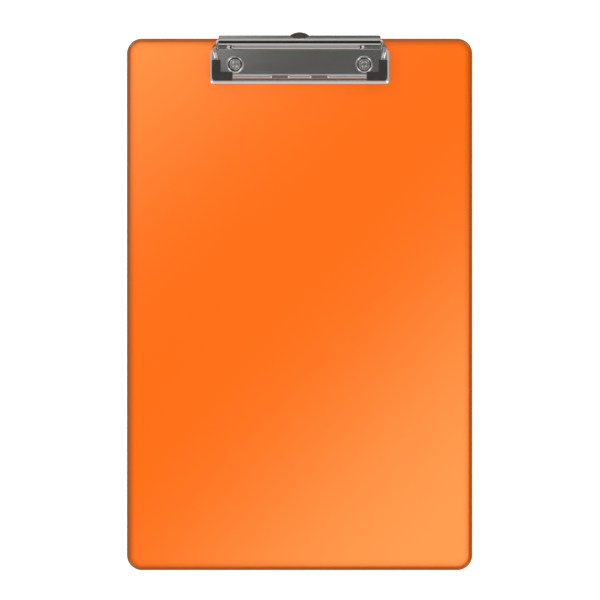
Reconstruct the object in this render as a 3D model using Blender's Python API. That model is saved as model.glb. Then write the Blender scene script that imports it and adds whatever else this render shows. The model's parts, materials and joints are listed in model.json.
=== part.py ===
# Clipboard with a low-profile wire clip.
#
# It lies flat with its writing face up (+Z) and its clip at the +Y end. The origin is under the
# middle of the whole object, on the surface that the board lies on. Metres throughout.
#
# Along the length, places are given as a distance "inside" the board's top edge, which is the
# edge at the clip: positive on the board, negative where a piece overhangs that edge.

import math

import bmesh
import bpy
import numpy as np

MM = 0.001
GAP = 0.3 * MM  # left between neighbouring pieces
OVERLAP = 0.01 * MM  # by which a cutter passes the face that it has to reach

# Board: one moulding with its upper edge rounded over and two rivet pockets in its back.
BOARD_WIDTH = 230 * MM
BOARD_LENGTH = 354 * MM
BOARD_THICKNESS = 3 * MM
BOARD_CORNER = 10 * MM
BOARD_ROUNDING = (2.6 * MM, 1.8 * MM)  # inwards, downwards
BOARD_BACK_CHAMFER = 0.5 * MM
POCKET_RADIUS = 5.6 * MM
POCKET_DEPTH = 1.8 * MM

# Base plate: pressed sheet with its edges turned down to the board and two ears turned up.
SHEET = 0.7 * MM
PLATE_TOP = 5.6 * MM
PLATE_HALF_WIDTH = 59.7 * MM
PLATE_BACK_HALF_WIDTH = 56.2 * MM
PLATE_BACK = 1.2 * MM
PLATE_FRONT = 29.8 * MM
SHOULDER_BACK = 4.8 * MM
SHOULDER_FRONT = 8.5 * MM
PLATE_CORNER_FRONT = 2.4 * MM
PLATE_CORNER_BACK = 2.0 * MM
PLATE_EDGE_RADIUS = 1.7 * MM
EAR_INNER = 54.1 * MM
EAR_THICKNESS = 0.6 * MM
EAR_FRONT = 8.1 * MM
EAR_BACK = 1.4 * MM
EAR_FOOT_BACK = 3.0 * MM  # the foot is narrower than the ear
EAR_FOOT_FRONT = 7.0 * MM
EAR_RISE = 2.6 * MM  # above the pivot
LANCE_WIDTH = 5.5 * MM  # the slot that each ear was lanced from
BEARING_CLEARANCE = 0.4 * MM  # round the wire, in each ear

# Rivets, in round dimples of the plate.
RIVET_X = 43 * MM
RIVET_INSIDE = 17.5 * MM
RIVET_SHANK = 2.0 * MM
RIVET_HEAD = 3.7 * MM
RIVET_HEAD_THICKNESS = 0.7 * MM
RIVET_TAIL = 3.2 * MM
RIVET_TAIL_THICKNESS = 0.5 * MM
RIVET_BORE = 1.3 * MM  # up the hollow tail
RIVET_HOLE = RIVET_SHANK + GAP
DIMPLE_RIM = 5.4 * MM
DIMPLE_FLOOR = 4.3 * MM
WASHER_RADIUS = 5.0 * MM
WASHER_THICKNESS = 0.5 * MM

# Pivot of the lever and the wire jaw, parallel to X.
PIVOT_INSIDE = 5.6 * MM
PIVOT_HEIGHT = 9.7 * MM

# Lever: sheet rolled into a bead round the pivot, with a groove and a finger flange behind it.
LEVER_SHEET = 0.5 * MM
LEVER_HALF_LENGTH = 53.8 * MM
BEAD_RADIUS = 2.3 * MM
GROOVE_RADIUS = 0.9 * MM
RISE_END = 5.2 * MM  # behind the pivot
RISE_SLOPE = math.radians(35)
FLANGE_END = 7.0 * MM  # behind the pivot
FLANGE_SLOPE = math.radians(1)
NOTCH_RADIUS = 11.6 * MM
NOTCH_DEPTH = 2.4 * MM
WINDOW_ENDS = (-44.9 * MM, 39.7 * MM)  # inner ends of the two windows in the bead

# Wire jaw: one length of spring wire, from one inner end round to the other.
WIRE_RADIUS = 1.5 * MM
WIRE_SHOULDER_X = 56.45 * MM
WIRE_SIDE_X = 55.4 * MM
WIRE_RUN_INSIDE = 25.2 * MM
WIRE_RUN_HEIGHT = 8.3 * MM
WIRE_DROP_START = 9.4 * MM  # the side arms jog inwards and down between these two places
WIRE_DROP_END = 13.2 * MM
WIRE_CORNER = 2.6 * MM

# Rubber corners, moulded over the wire's two front corners.
RUBBER_WIDTH = 5.3 * MM
RUBBER_HEIGHT = 4.8 * MM
RUBBER_LEG = 13.6 * MM

# Hanging hook: a flat T that slides out from between the board and the plate.
HOOK_REACH = 4.0 * MM  # beyond the board's top edge when it is pushed in
HOOK_THICKNESS = 1.2 * MM
HOOK_HALF_WIDTH = 8.5 * MM
HOOK_HEAD_RADIUS = 10.4 * MM
HOOK_HOLE_RADIUS = 3.25 * MM
HOOK_HOLE_INSIDE = 5.2 * MM
HOOK_FOOT_HALF_WIDTH = 11.5 * MM
HOOK_TRAVEL = 15 * MM
HOOK_FOOT_LENGTH = 6 * MM

TOP_EDGE = (BOARD_LENGTH - HOOK_REACH) / 2  # Y of the board's top edge
PLATE_BOTTOM = BOARD_THICKNESS + GAP


def y_at(inside):
    """World Y of a place this far inside the board's top edge."""
    return TOP_EDGE - inside


# ---- outlines and paths ----


def fillet(before, corner, after, radius, steps):
    """Points of the arc that rounds one corner of a path, in the plane of its two legs."""
    u = (before - corner) / np.linalg.norm(before - corner)
    v = (after - corner) / np.linalg.norm(after - corner)
    half = math.acos(np.clip(u @ v, -1, 1)) / 2
    start = corner + u * radius / math.tan(half)
    centre = corner + (u + v) / np.linalg.norm(u + v) * radius / math.sin(half)
    across = (start - centre) / radius
    along = -u
    turns = np.linspace(0, math.pi - 2 * half, steps + 1)
    return [centre + radius * (math.cos(t) * across + math.sin(t) * along) for t in turns]


def rounded(corners, radii, steps=6, closed=True):
    """A polygon or an open path with each corner rounded to its own radius; 0 leaves it sharp."""
    corners = [np.array(corner, float) for corner in corners]
    points = []
    for i, corner in enumerate(corners):
        at_end = not closed and i in (0, len(corners) - 1)
        if at_end or radii[i] <= 0:
            points.append(corner)
        else:
            after = corners[(i + 1) % len(corners)]
            points += fillet(corners[i - 1], corner, after, radii[i], steps)
    return np.array(points)


def inset(corners, radii, distance):
    """A counter-clockwise polygon moved inwards, with its corner radii changed to match."""
    corners = np.array(corners, float)
    ahead = np.roll(corners, -1, axis=0) - corners
    ahead /= np.linalg.norm(ahead, axis=1)[:, None]
    inward = np.stack([-ahead[:, 1], ahead[:, 0]], axis=1)
    previous = np.roll(inward, 1, axis=0)
    share = 1 + np.sum(inward * previous, axis=1)
    moved = corners + distance * (inward + previous) / share[:, None]
    turn = previous[:, 0] * inward[:, 1] - previous[:, 1] * inward[:, 0]
    changed = [max(r - math.copysign(distance, t), 0.05 * MM) for r, t in zip(radii, turn)]
    return moved, changed


def flat_ring(points, z):
    return [(x, y, z) for x, y in points]


def circle_ring(radius, z, sides, centre=(0, 0)):
    turns = np.arange(sides) * 2 * math.pi / sides
    return [(centre[0] + radius * math.cos(t), centre[1] + radius * math.sin(t), z) for t in turns]


def swept_rings(path, radius, sides):
    """Circles square to a path, carried along it without twisting."""
    path = np.array(path)
    along = np.gradient(path, axis=0)
    along /= np.linalg.norm(along, axis=1)[:, None]
    side = np.cross(along[0], (0.0, 0.0, 1.0))
    if np.linalg.norm(side) < 0.1:
        side = np.cross(along[0], (0.0, 1.0, 0.0))
    turns = np.arange(sides) * 2 * math.pi / sides
    rings = []
    for point, direction in zip(path, along):
        side = side - direction * (side @ direction)
        side /= np.linalg.norm(side)
        other = np.cross(direction, side)
        rings.append([tuple(point + radius * (math.cos(t) * side + math.sin(t) * other)) for t in turns])
    return rings


# ---- meshes and objects ----


def mesh_of(name, rings, ring_shaped=False):
    """Quads from each ring to the next. Flat faces close the ends, or the last ring meets the first."""
    count = len(rings[0])
    mesh = bmesh.new()
    loops = [[mesh.verts.new(point) for point in ring] for ring in rings]
    following = loops[1:] + loops[:1] if ring_shaped else loops[1:]
    for low, high in zip(loops, following):
        for i in range(count):
            j = (i + 1) % count
            mesh.faces.new((low[i], low[j], high[j], high[i]))
    if not ring_shaped:
        mesh.faces.new(loops[0])
        mesh.faces.new(loops[-1])
    bmesh.ops.recalc_face_normals(mesh, faces=mesh.faces)
    data = bpy.data.meshes.new(name)
    mesh.to_mesh(data)
    mesh.free()
    return data


def add(name, data, surface, parent=None, sharp=35):
    """A visible sub-part, shaded smooth but for edges sharper than this angle in degrees."""
    obj = bpy.data.objects.new(name, data)
    bpy.context.scene.collection.objects.link(obj)
    data.materials.append(surface)
    data.shade_smooth()
    data.set_sharp_from_angle(angle=math.radians(sharp))
    obj.parent = parent
    return obj


def add_helper(name, data):
    """A cutter or a shape to be joined on, kept out of the model itself."""
    obj = bpy.data.objects.new(name, data)
    bpy.context.scene.collection.objects.link(obj)
    obj.hide_render = True
    obj.display_type = "WIRE"
    return obj


def combine(target, helper, operation="DIFFERENCE"):
    modifier = target.modifiers.new(helper.name, "BOOLEAN")
    modifier.operation = operation
    modifier.solver = "EXACT"
    modifier.object = helper


def box(name, low, high):
    """A cutter with these lowest and highest corners."""
    corners = [(low[0], low[1]), (high[0], low[1]), (high[0], high[1]), (low[0], high[1])]
    return add_helper(name, mesh_of(name, [flat_ring(corners, low[2]), flat_ring(corners, high[2])]))


def disc(name, radius, centre, low, high, sides=32):
    """A cylinder cutter standing upright between two heights."""
    rings = [circle_ring(radius, z, sides, centre) for z in (low, high)]
    return add_helper(name, mesh_of(name, rings))


def turned(name, profile, sides, centre=(0, 0), ring_shaped=False):
    """A body turned round an upright axis from (radius, height) points."""
    rings = [circle_ring(radius, z, sides, centre) for radius, z in profile]
    return mesh_of(name, rings, ring_shaped)


def arc(centre, radius, start, end, steps):
    """(radius, height) points of an arc in a turned profile; angles in degrees from outwards."""
    turns = np.radians(np.linspace(start, end, steps + 1))
    return [(centre[0] + radius * math.cos(t), centre[1] + radius * math.sin(t)) for t in turns]


def finish(name, colour, roughness, metallic):
    surface = bpy.data.materials.new(name)
    surface.use_nodes = True
    shader = surface.node_tree.nodes["Principled BSDF"]
    shader.inputs["Base Color"].default_value = (*colour, 1)
    shader.inputs["Roughness"].default_value = roughness
    shader.inputs["Metallic"].default_value = metallic
    surface.diffuse_color = (*colour, 1)
    return surface


def orange_plastic():
    return finish("orange_plastic", (1.0, 0.156, 0.002), 0.3, 0)


def chromed_steel():
    return finish("chromed_steel", (0.62, 0.61, 0.59), 0.08, 1)


def black_rubber():
    return finish("black_rubber", (0.012, 0.012, 0.012), 0.6, 0)


def dark_plastic():
    return finish("dark_plastic", (0.03, 0.026, 0.026), 0.4, 0)


# ---- board ----


def add_board(surface):
    half_x = BOARD_WIDTH / 2
    low = y_at(BOARD_LENGTH)
    high = y_at(0)
    corners = [(-half_x, low), (half_x, low), (half_x, high), (-half_x, high)]
    radii = [BOARD_CORNER] * 4
    reach, drop = BOARD_ROUNDING
    levels = [(BOARD_BACK_CHAMFER, 0), (0, BOARD_BACK_CHAMFER)]
    for turn in np.linspace(0, math.pi / 2, 6):
        levels.append((reach * (1 - math.cos(turn)), BOARD_THICKNESS - drop * (1 - math.sin(turn))))
    rings = [flat_ring(rounded(*inset(corners, radii, d), steps=9), z) for d, z in levels]
    board = add("board", mesh_of("board", rings), surface)
    for side, x in (("left", -RIVET_X), ("right", RIVET_X)):
        centre = (x, y_at(RIVET_INSIDE))
        combine(board, disc(f"board_hole_{side}", RIVET_HOLE, centre, -MM, BOARD_THICKNESS + MM, 24))
        combine(board, disc(f"board_pocket_{side}", POCKET_RADIUS, centre, -MM, POCKET_DEPTH))


# ---- base plate ----


def plate_outline():
    """The plate's corners seen from above, counter-clockwise, and their radii."""
    right = [
        (PLATE_HALF_WIDTH, y_at(PLATE_FRONT), PLATE_CORNER_FRONT),
        (PLATE_HALF_WIDTH, y_at(SHOULDER_FRONT), PLATE_CORNER_BACK),
        (PLATE_BACK_HALF_WIDTH, y_at(SHOULDER_BACK), 1.0 * MM),
        (PLATE_BACK_HALF_WIDTH, y_at(PLATE_BACK), PLATE_CORNER_BACK),
    ]
    both = right + [(-x, y, r) for x, y, r in reversed(right)]
    return [(x, y) for x, y, _ in both], [r for _, _, r in both]


def pressed_shell(margin, low, top, edge_radius):
    """A block with the plate's outline, this far inside it, and its upper edge rounded."""
    outline, radii = plate_outline()
    levels = [(margin, low)]
    for turn in np.linspace(0, math.pi / 2, 5):
        level = top - edge_radius * (1 - math.sin(turn))
        levels.append((margin + edge_radius * (1 - math.cos(turn)), level))
    return [flat_ring(rounded(*inset(outline, radii, d), steps=4), z) for d, z in levels]


def dimple_profile(grown, high):
    """The conical wall of a rivet dimple as (radius, height), grown outwards and down by a wall."""
    floor = PLATE_BOTTOM + SHEET - grown
    lip = 0.5 * MM
    return [
        (DIMPLE_FLOOR + grown, floor),
        (DIMPLE_RIM - lip + grown, PLATE_TOP - lip),
        (DIMPLE_RIM - 0.3 * lip + grown, PLATE_TOP - 0.3 * lip),
        (DIMPLE_RIM + grown, PLATE_TOP),
        (DIMPLE_RIM + grown, high),
    ]


def ear_outline():
    """One ear from the side as (Y, Z) corners, counter-clockwise, and their radii."""
    foot = PLATE_TOP - SHEET / 2
    top = PIVOT_HEIGHT + EAR_RISE
    corners = [
        (y_at(EAR_FRONT), PIVOT_HEIGHT - 1.5 * MM),
        (y_at(EAR_FOOT_FRONT), foot),
        (y_at(EAR_FOOT_BACK), foot),
        (y_at(EAR_BACK), PIVOT_HEIGHT - 1.5 * MM),
        (y_at(EAR_BACK), top - 1.5 * MM),
        (y_at(PIVOT_INSIDE - EAR_RISE), top),
        (y_at(PIVOT_INSIDE + EAR_RISE), top),
    ]
    return corners, [1 * MM, 0, 0, 1 * MM, 1 * MM, 1.2 * MM, 2.4 * MM]


def add_base_plate(surface):
    outer_rings = pressed_shell(0, PLATE_BOTTOM, PLATE_TOP, PLATE_EDGE_RADIUS)
    plate = add("base_plate", mesh_of("base_plate", outer_rings), surface)
    inner_radius = PLATE_EDGE_RADIUS - SHEET
    hollow_rings = pressed_shell(SHEET, PLATE_BOTTOM - MM, PLATE_TOP - SHEET, inner_radius)
    hollow = add_helper("plate_hollow", mesh_of("plate_hollow", hollow_rings))
    combine(plate, hollow)
    rivet_y = y_at(RIVET_INSIDE)
    for side, sign in (("left", -1), ("right", 1)):
        centre = (sign * RIVET_X, rivet_y)
        cup = turned("cup", dimple_profile(SHEET + OVERLAP, PLATE_TOP + MM), 32, centre)
        combine(hollow, add_helper(f"plate_cup_{side}", cup))
        dimple = turned("dimple", dimple_profile(0, PLATE_TOP + MM), 32, centre)
        combine(plate, add_helper(f"plate_dimple_{side}", dimple))
        combine(plate, disc(f"plate_rivet_hole_{side}", RIVET_HOLE, centre, 0, PLATE_TOP, 24))
        inner = sign * EAR_INNER
        outer = sign * (EAR_INNER + EAR_THICKNESS)
        slot_x = sorted((inner - sign * LANCE_WIDTH, inner))
        slot_y = (y_at(EAR_FOOT_FRONT), y_at(EAR_FOOT_BACK))
        slot_low = (slot_x[0], slot_y[0], 0)
        slot_high = (slot_x[1], slot_y[1], PLATE_TOP + MM)
        combine(plate, box(f"plate_slot_{side}", slot_low, slot_high))
        outline = rounded(*ear_outline(), steps=6)
        ear = [[(x, y, z) for y, z in outline] for x in (inner, outer)]
        combine(plate, add_helper(f"plate_ear_{side}", mesh_of("ear", ear)), "UNION")
        bearing = WIRE_RADIUS + BEARING_CLEARANCE
        ring = circle_ring(bearing, 0, 24, (y_at(PIVOT_INSIDE), PIVOT_HEIGHT))
        hole = [[(x, y, z) for y, z, _ in ring] for x in (inner - sign * MM, outer + sign * MM)]
        combine(plate, add_helper(f"plate_bearing_{side}", mesh_of("bearing", hole)))
    mouth_half = HOOK_HALF_WIDTH + GAP
    mouth_low = (-mouth_half, y_at(PLATE_BACK + 2 * SHEET), PLATE_BOTTOM - MM)
    mouth_high = (mouth_half, y_at(PLATE_BACK - MM), PLATE_TOP - SHEET)
    combine(plate, box("plate_hook_mouth", mouth_low, mouth_high))


# ---- rivets and washers ----


def rivet_profile():
    """Semi-tubular rivet as (radius, height), from its hollow tail's floor round to its head's dimple."""
    seat = PLATE_BOTTOM + SHEET + GAP
    head = seat + RIVET_HEAD_THICKNESS
    head_edge = RIVET_HEAD_THICKNESS / 2
    tail_top = POCKET_DEPTH - WASHER_THICKNESS - 2 * GAP
    tail_edge = RIVET_TAIL_THICKNESS / 2
    flare = RIVET_TAIL_THICKNESS  # where the bore opens into the rolled tail
    rim = 0.55 * MM  # half the width of the ring raised round the head's dimple
    cone = 0.3 * MM  # at the bore's floor
    floor = tail_top + 1.6 * MM
    profile = [(RIVET_BORE - cone, floor), (RIVET_BORE, floor - cone)]
    profile += arc((RIVET_BORE + flare, tail_top), flare, 180, 270, 3)
    profile += arc((RIVET_TAIL - tail_edge, tail_top - tail_edge), tail_edge, -90, 90, 3)
    profile += [(RIVET_SHANK, tail_top), (RIVET_SHANK, seat)]
    profile += arc((RIVET_HEAD - head_edge, seat + head_edge), head_edge, -90, 90, 4)
    profile += arc((RIVET_BORE + rim, head), rim, 10, 170, 4)
    profile += arc((0, head + 0.2 * MM), RIVET_BORE, 0, -70, 3)
    return profile


def add_rivets(surface):
    for side, sign in (("left", -1), ("right", 1)):
        centre = (sign * RIVET_X, y_at(RIVET_INSIDE))
        add(f"rivet_{side}", turned("rivet", rivet_profile(), 24, centre), surface)
        high = POCKET_DEPTH - GAP
        low = high - WASHER_THICKNESS
        section = [(RIVET_HOLE, low), (WASHER_RADIUS, low), (WASHER_RADIUS, high), (RIVET_HOLE, high)]
        washer = turned("washer", section, 24, centre, ring_shaped=True)
        add(f"rivet_washer_{side}", washer, surface)


# ---- lever, about the pivot ----


def lever_middle():
    """The middle line of the lever's sheet as (Y, Z) from the pivot: bead, groove, rise, flange."""
    radius = BEAD_RADIUS - LEVER_SHEET / 2
    leave = math.radians(20)
    turns = np.linspace(math.radians(322), leave, 28)
    bead = [(radius * math.cos(t), radius * math.sin(t)) for t in turns]
    groove_y = (radius + GROOVE_RADIUS) * math.cos(leave)
    groove_z = (radius + GROOVE_RADIUS) * math.sin(leave)
    groove = []
    for t in np.linspace(math.pi + leave, 1.5 * math.pi + RISE_SLOPE, 8)[1:]:
        groove.append((groove_y + GROOVE_RADIUS * math.cos(t), groove_z + GROOVE_RADIUS * math.sin(t)))
    start_y, start_z = groove[-1]
    bend = (RISE_END, start_z + (RISE_END - start_y) * math.tan(RISE_SLOPE))
    end = (FLANGE_END, bend[1] + (FLANGE_END - RISE_END) * math.tan(FLANGE_SLOPE))
    rise = rounded([groove[-1], bend, end], [0, 1.0 * MM, 0], steps=4, closed=False)
    return np.array(bead + groove + [tuple(point) for point in rise[1:]])


def add_lever(surface, hinge):
    middle = lever_middle()
    along = np.gradient(middle, axis=0)
    along /= np.linalg.norm(along, axis=1)[:, None]
    side = np.stack([-along[:, 1], along[:, 0]], axis=1) * LEVER_SHEET / 2
    section = np.concatenate([middle + side, (middle - side)[::-1]])
    rings = [[(x, y, z) for y, z in section] for x in (-LEVER_HALF_LENGTH, LEVER_HALF_LENGTH)]
    lever = add("lever", mesh_of("lever", rings), surface, hinge)
    for side_name, inner in zip(("left", "right"), WINDOW_ENDS):
        outer = math.copysign(LEVER_HALF_LENGTH + MM, inner)
        low = (min(inner, outer), -BEAD_RADIUS - MM, -0.8 * MM)
        high = (max(inner, outer), 0.7 * MM, BEAD_RADIUS + MM)
        window = box(f"lever_window_{side_name}", low, high)
        window.parent = hinge
        combine(lever, window)
    centre = (0, FLANGE_END - NOTCH_DEPTH + NOTCH_RADIUS)
    notch = disc("lever_notch", NOTCH_RADIUS, centre, 0, 5 * MM, 96)
    notch.parent = hinge
    combine(lever, notch)


# ---- wire jaw and its rubber corners, about the pivot ----


def from_pivot(inside, height):
    return PIVOT_INSIDE - inside, height - PIVOT_HEIGHT


def wire_path():
    """The wire's middle line from its left inner end, down the left arm, across, and back up."""
    run_y, run_z = from_pivot(WIRE_RUN_INSIDE, WIRE_RUN_HEIGHT)
    level_y, _ = from_pivot(WIRE_DROP_START, PIVOT_HEIGHT)
    drop_y, _ = from_pivot(WIRE_DROP_END, WIRE_RUN_HEIGHT)
    tip = 1.0 * MM  # how far each end turns out through its window, forwards and upwards
    tip_run = 1.7 * MM
    halves = []
    for end, sign in zip(WINDOW_ENDS, (-1, 1)):
        tip_x = end + sign * 1.3 * MM
        halves.append(
            [
                (tip_x, -tip, tip),
                (tip_x + sign * tip_run, 0, 0),
                (sign * WIRE_SHOULDER_X, 0, 0),
                (sign * WIRE_SHOULDER_X, level_y, 0),
                (sign * WIRE_SIDE_X, drop_y, run_z),
                (sign * WIRE_SIDE_X, run_y, run_z),
            ]
        )
    corners = halves[0] + [(0, run_y, run_z)] + halves[1][::-1]
    radii = [0, 1.8 * MM, 1.75 * MM, 3 * MM, 3 * MM, WIRE_CORNER]
    radii += [0] + radii[::-1]
    return rounded(corners, radii, steps=6, closed=False)


def add_wire_jaw(surface, hinge):
    rings = swept_rings(wire_path(), WIRE_RADIUS, 14)
    add("wire_jaw", mesh_of("wire_jaw", rings), surface, hinge)


def rubber_rings(sign):
    """One L-shaped corner as outlines at rising heights, its upper and lower edges rounded."""
    run_y, run_z = from_pivot(WIRE_RUN_INSIDE, WIRE_RUN_HEIGHT)
    half = RUBBER_WIDTH / 2
    outer = WIRE_SIDE_X + half
    front = run_y - half
    corners = [
        (outer - RUBBER_LEG, front, 0),
        (outer, front, 2.4 * MM),
        (outer, front + RUBBER_LEG, 0),
        (outer - RUBBER_WIDTH, front + RUBBER_LEG, 0),
        (outer - RUBBER_WIDTH, front + RUBBER_WIDTH, 0.5 * MM),
        (outer - RUBBER_LEG, front + RUBBER_WIDTH, 0),
    ]
    outline = [(x, y) for x, y, _ in corners]
    radii = [r for _, _, r in corners]
    edge = 0.6 * MM
    turns = np.linspace(0, math.pi / 2, 4)
    levels = [(edge * (1 - math.sin(t)), -RUBBER_HEIGHT / 2 + edge * (1 - math.cos(t))) for t in turns]
    levels += [(d, -z) for d, z in reversed(levels)]
    rings = []
    for distance, z in levels:
        moved, _ = inset(outline, radii, distance)
        ring = rounded(moved, radii, steps=5)
        rings.append([(sign * x, y, run_z + z) for x, y in ring])
    return rings


def add_rubber_corners(surface, hinge):
    channel_path = wire_path()
    for side, sign in (("left", -1), ("right", 1)):
        moulding = mesh_of("rubber_corner", rubber_rings(sign))
        corner = add(f"rubber_corner_{side}", moulding, surface, hinge)
        within = channel_path[sign * channel_path[:, 0] >= 0]
        channel_rings = swept_rings(within, WIRE_RADIUS + GAP, 16)
        channel = add_helper(f"rubber_channel_{side}", mesh_of("rubber_channel", channel_rings))
        channel.parent = hinge
        combine(corner, channel)


# ---- hanging hook, about the middle of its hole ----


def add_hanging_hook(surface, slide):
    """The origin is the hole's middle at mid-thickness; the head's arc, straight sides, then the foot."""
    head_y = HOOK_HOLE_INSIDE + HOOK_REACH - HOOK_HEAD_RADIUS
    reach = math.asin(HOOK_HALF_WIDTH / HOOK_HEAD_RADIUS)
    head = []
    for t in np.linspace(reach, -reach, 17):
        head.append((HOOK_HEAD_RADIUS * math.sin(t), head_y + HOOK_HEAD_RADIUS * math.cos(t)))
    shoulder = HOOK_HOLE_INSIDE - (PLATE_BACK + SHEET + GAP + HOOK_TRAVEL)
    foot = shoulder - HOOK_FOOT_LENGTH
    tail = [
        (-HOOK_HALF_WIDTH, shoulder),
        (-HOOK_FOOT_HALF_WIDTH, shoulder),
        (-HOOK_FOOT_HALF_WIDTH, foot),
        (HOOK_FOOT_HALF_WIDTH, foot),
        (HOOK_FOOT_HALF_WIDTH, shoulder),
        (HOOK_HALF_WIDTH, shoulder),
    ]
    half = HOOK_THICKNESS / 2
    rings = [flat_ring(head + tail, z) for z in (-half, half)]
    hook = add("hanging_hook", mesh_of("hanging_hook", rings), surface, slide)
    hole = disc("hook_hole", HOOK_HOLE_RADIUS, (0, 0), -MM, MM, 28)
    hole.parent = slide
    combine(hook, hole)


def add_axis(name, inside, height):
    """An empty on a joint's axis, which carries the pieces that move with it."""
    empty = bpy.data.objects.new(name, None)
    empty.empty_display_size = 10 * MM
    empty.location = (0, y_at(inside), height)
    bpy.context.scene.collection.objects.link(empty)
    return empty


def main():
    for obj in list(bpy.data.objects):
        bpy.data.objects.remove(obj, do_unlink=True)
    steel = chromed_steel()
    add_board(orange_plastic())
    add_base_plate(steel)
    add_rivets(steel)
    hinge = add_axis("jaw_hinge_axis", PIVOT_INSIDE, PIVOT_HEIGHT)
    add_lever(steel, hinge)
    add_wire_jaw(steel, hinge)
    add_rubber_corners(black_rubber(), hinge)
    slide = add_axis("hook_slide_axis", HOOK_HOLE_INSIDE, PLATE_BOTTOM + HOOK_THICKNESS / 2)
    add_hanging_hook(dark_plastic(), slide)


main()
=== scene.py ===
# Clipboard with a low-profile wire clip: the finished surfaces, their materials, and a plain studio.
# Lengths are written in millimetres and turned to metres by mm.

import json
import math

import bmesh
import bpy
import numpy as np
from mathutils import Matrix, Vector
from mathutils.geometry import tessellate_polygon


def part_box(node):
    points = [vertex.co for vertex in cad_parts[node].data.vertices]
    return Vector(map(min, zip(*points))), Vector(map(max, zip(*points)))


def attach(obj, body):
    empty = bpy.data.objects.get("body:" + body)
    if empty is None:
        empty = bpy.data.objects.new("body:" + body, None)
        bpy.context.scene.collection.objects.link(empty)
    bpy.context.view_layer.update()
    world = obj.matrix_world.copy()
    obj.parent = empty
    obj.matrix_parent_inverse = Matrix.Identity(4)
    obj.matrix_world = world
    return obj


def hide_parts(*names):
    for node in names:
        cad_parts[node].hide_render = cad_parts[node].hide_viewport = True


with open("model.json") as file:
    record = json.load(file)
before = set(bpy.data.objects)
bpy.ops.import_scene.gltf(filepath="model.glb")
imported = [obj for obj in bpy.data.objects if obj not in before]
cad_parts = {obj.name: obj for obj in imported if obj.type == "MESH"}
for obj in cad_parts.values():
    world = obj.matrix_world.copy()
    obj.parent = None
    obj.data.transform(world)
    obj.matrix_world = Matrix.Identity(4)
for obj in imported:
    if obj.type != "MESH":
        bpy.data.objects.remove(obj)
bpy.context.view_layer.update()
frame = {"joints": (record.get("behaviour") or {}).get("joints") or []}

mm = 0.001
boardLow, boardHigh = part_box("board")
plateLow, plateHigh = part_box("base_plate")
hinge = next(joint for joint in frame["joints"] if joint["name"] == "jaw_hinge")
pivotY, pivotZ = hinge["pos_m"][1], hinge["pos_m"][2]
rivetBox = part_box("rivet_right")
rivetX = (rivetBox[0].x + rivetBox[1].x) / 2
rivetY = (rivetBox[0].y + rivetBox[1].y) / 2


# Outlines, grids and fills.

def arcPoints(centre, radius, start, end, steps):
    # Points on a circle between two angles in degrees.
    turn = np.radians(np.linspace(start, end, steps + 1))
    return np.stack([centre[0] + radius * np.cos(turn), centre[1] + radius * np.sin(turn)], axis=1)


def roundCorner(before, corner, after, radius, steps):
    # The arc of this radius that touches both sides of a corner, in the plane of the two sides.
    u = (before - corner) / np.linalg.norm(before - corner)
    v = (after - corner) / np.linalg.norm(after - corner)
    half = math.acos(np.clip(u @ v, -1, 1)) / 2
    start = corner + u * radius / math.tan(half)
    centre = corner + (u + v) / np.linalg.norm(u + v) * radius / math.sin(half)
    turn = np.linspace(0, math.pi - 2 * half, steps + 1)[:, None]
    return centre + np.cos(turn) * (start - centre) - np.sin(turn) * radius * u


def roundedLine(corners, radii, steps, closed=True):
    # A polygon or an open path whose corners become arcs; a radius of 0 keeps the corner.
    corners = np.array(corners, float)
    stretches = []
    for i, corner in enumerate(corners):
        atEnd = not closed and i in (0, len(corners) - 1)
        if atEnd or radii[i] <= 0:
            stretches.append(corner[None])
        else:
            after = corners[(i + 1) % len(corners)]
            stretches.append(roundCorner(corners[i - 1], corner, after, radii[i], steps))
    return np.concatenate(stretches)


def insetOutline(corners, radii, distance):
    # Every side moves inwards by the distance, or by its own one; outer corners lose it from their radius,
    # inner ones gain it. A corner goes where its two moved sides cross.
    corners = np.array(corners, float)
    own = np.broadcast_to(distance, len(corners))
    before = np.roll(own, 1)
    ahead = np.roll(corners, -1, axis=0) - corners
    ahead /= np.linalg.norm(ahead, axis=1)[:, None]
    inward = np.stack([-ahead[:, 1], ahead[:, 0]], axis=1)
    previous = np.roll(inward, 1, axis=0)
    turn = previous[:, 0] * inward[:, 1] - previous[:, 1] * inward[:, 0]
    along = np.sum(inward * previous, axis=1)
    straight = abs(turn) < 0.001
    scale = np.where(straight, 2, 1 - along**2)
    byOwn = np.where(straight, own, own - before * along) / scale
    byBefore = np.where(straight, before, before - own * along) / scale
    moved = corners + byOwn[:, None] * inward + byBefore[:, None] * previous
    changed = np.maximum(np.array(radii) - (own + before) / 2 * np.sign(turn), 0.04 * mm)
    return moved, np.where(np.array(radii) > 0, changed, 0)


def insetRings(corners, radii, levels, steps, shares=1.0):
    # One ring of an outline for each (inset, height) level, as an array of levels by points by XYZ. The
    # shares are how much of the inset each side takes.
    rings = []
    for distance, height in levels:
        ring = roundedLine(*insetOutline(corners, radii, distance * np.array(shares)), steps)
        rings.append(np.column_stack([ring, np.full(len(ring), height)]))
    return np.array(rings)


def turnedRings(profile, centre, sides):
    # A (radius, height) profile carried round an upright axis.
    profile = np.array(profile)
    turn = np.arange(sides) * 2 * math.pi / sides
    x = centre[0] + profile[:, :1] * np.cos(turn)
    y = centre[1] + profile[:, :1] * np.sin(turn)
    return np.stack([x, y, np.repeat(profile[:, 1:], sides, axis=1)], axis=-1)


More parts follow.
